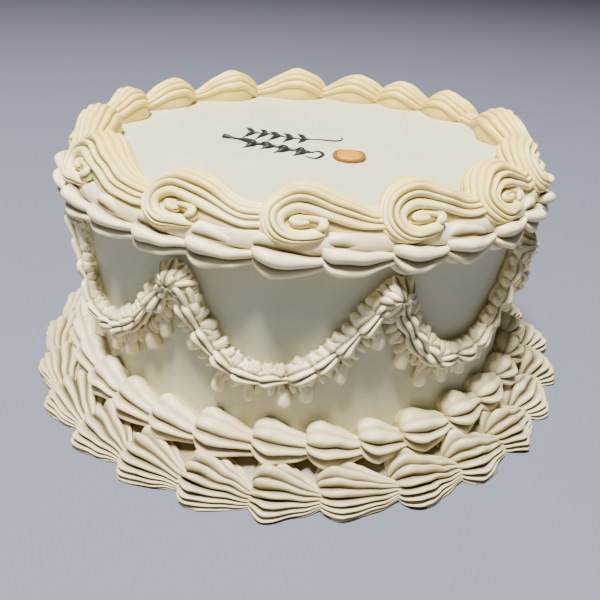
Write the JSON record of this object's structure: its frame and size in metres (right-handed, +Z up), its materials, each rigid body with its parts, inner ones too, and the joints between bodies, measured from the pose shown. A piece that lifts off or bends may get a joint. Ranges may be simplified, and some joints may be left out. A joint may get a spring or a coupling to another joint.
{
  "type": "anniversary cake",
  "caption": "Round one-tier celebration cake with smooth ivory icing, piped scroll and shell borders, swags with drops round the wall and a small orange ornament.",
  "frame": {"origin": "centre of the cake's underside, on the surface that it stands on", "axes": "+Z up; the front of the cake, as the picture shows it, faces -Y; +X to the viewer's right"},
  "size_m": [0.2758, 0.2755, 0.1277],
  "materials": {
    "smooth_buttercream": "smooth spread buttercream, satin, faintly uneven",
    "piped_buttercream": "piped buttercream, satin, ribbed by a star tip",
    "orange_icing": "thin orange icing, satin",
    "black_icing": "thin piped black icing, satin"
  },
  "bodies": {
    "root": {"cake_body": "smooth_buttercream", "top_scrolls": "piped_buttercream", "top_edge_shells": "piped_buttercream", "wall_garland": "piped_buttercream", "foot_shells": "piped_buttercream", "foot_fans": "piped_buttercream", "orange_ornament": "orange_icing"}
  },
  "joints": []
}
